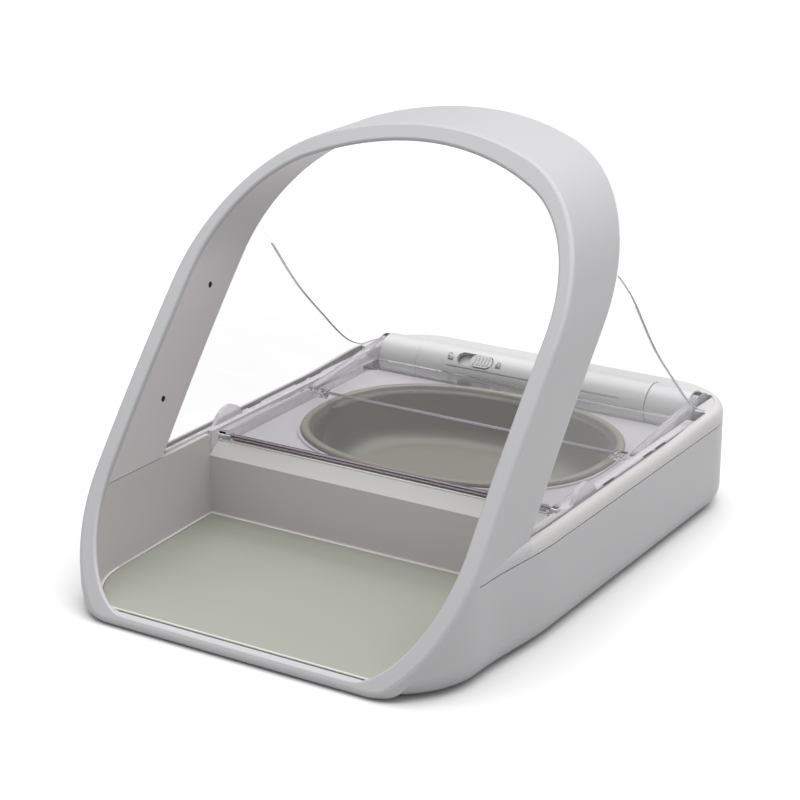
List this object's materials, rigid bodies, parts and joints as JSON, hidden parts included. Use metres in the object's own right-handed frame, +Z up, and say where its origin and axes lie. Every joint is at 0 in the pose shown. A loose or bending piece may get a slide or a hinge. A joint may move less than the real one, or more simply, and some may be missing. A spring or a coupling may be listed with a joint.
{
  "type": "microchip pet feeder",
  "caption": "Low pet feeder with a leaning hoop, a front well, a bowl under a clear folding lid that turns on a rear tube, and a clear rear cover.",
  "frame": {"origin": "centre of the feeder's footprint, on the surface it stands on", "axes": "+Z up, the open front of the hoop faces -Y, +X to the right of someone facing +Y"},
  "size_m": [0.218, 0.3118, 0.2075],
  "materials": {
    "shell_plastic": "fine spark-eroded satin",
    "liner_plastic": "satin",
    "mat_rubber": "soft matt",
    "tray_plastic": "satin",
    "bowl_plastic": "satin",
    "tube_plastic": "smooth satin",
    "clear_plastic": "polished, clear",
    "pin_plastic": "smooth",
    "dark_rubber": "matt",
    "dark_plastic": "polished, dark",
    "motor_can": "drawn",
    "plated_steel": "nickel plated",
    "copper_winding": "enamelled",
    "circuit_board": "solder resist",
    "button_rubber": "soft matt",
    "light_pipe": "diffusing",
    "cell_jacket": "film wrap",
    "foot_rubber": "soft matt"
  },
  "bodies": {
    "root": {"hoop_outer": "shell_plastic", "hoop_liner": "liner_plastic", "base_tub": "shell_plastic", "upper_deck": "shell_plastic", "mat": "mat_rubber", "bowl_tray": "tray_plastic", "bowl": "bowl_plastic", "tube_cover": "tube_plastic", "tube_cradle": "tube_plastic", "side_rail_left": "clear_plastic", "side_rail_right": "clear_plastic", "rear_cover": "clear_plastic", "sensor_windows": "dark_plastic", "pivot_blocks": "tube_plastic", "gear_motor": "motor_can", "antenna_coil": "copper_winding", "control_board": "circuit_board", "switch_board": "circuit_board", "status_light": "light_pipe", "battery_cells": "cell_jacket", "battery_contacts": "plated_steel", "battery_cover_left": "shell_plastic", "battery_cover_right": "shell_plastic", "housing_screws": "plated_steel", "foot_pads": "foot_rubber"},
    "rear_lid": {"lid_rear_panel": "clear_plastic", "hinge_pins": "clear_plastic", "collar_left": "tube_plastic", "collar_right": "tube_plastic", "drive_shaft": "plated_steel", "idle_shaft": "plated_steel", "pivot_pins": "pin_plastic"},
    "front_lid": {"lid_front_panel": "clear_plastic", "guide_pins": "pin_plastic", "lid_seal": "dark_rubber"},
    "lock": {"lock_slider": "tube_plastic"},
    "button_l": {"button_left": "button_rubber"},
    "button_m": {"button_middle": "button_rubber"},
    "button_r": {"button_right": "button_rubber"}
  },
  "joints": [
    {"name": "lid_hinge", "type": "hinge", "parent": "root", "child": "rear_lid", "pos_m": [0, 0.125, 0.047], "axis": [-1, 0, 0], "range_deg": [0, 75]},
    {"name": "lid_fold", "type": "hinge", "parent": "rear_lid", "child": "front_lid", "pos_m": [0, 0.0485, 0.047], "axis": [-1, 0, 0], "range_deg": [-150, 0]},
    {"name": "lock_slide", "type": "slide", "parent": "root", "child": "lock", "axis": [-1, 0, 0], "range_m": [0, 0.008]},
    {"name": "button_left_push", "type": "slide", "parent": "root", "child": "button_l", "axis": [0, -1, 0], "range_m": [0, 0.0015], "stiffness_N_per_m": 900},
    {"name": "button_middle_push", "type": "slide", "parent": "root", "child": "button_m", "axis": [0, -1, 0], "range_m": [0, 0.0015], "stiffness_N_per_m": 900},
    {"name": "button_right_push", "type": "slide", "parent": "root", "child": "button_r", "axis": [0, -1, 0], "range_m": [0, 0.0015], "stiffness_N_per_m": 900}
  ],
  "couplings": [
    {"joint": "lid_fold", "follows": "lid_hinge", "ratio": -2}
  ]
}
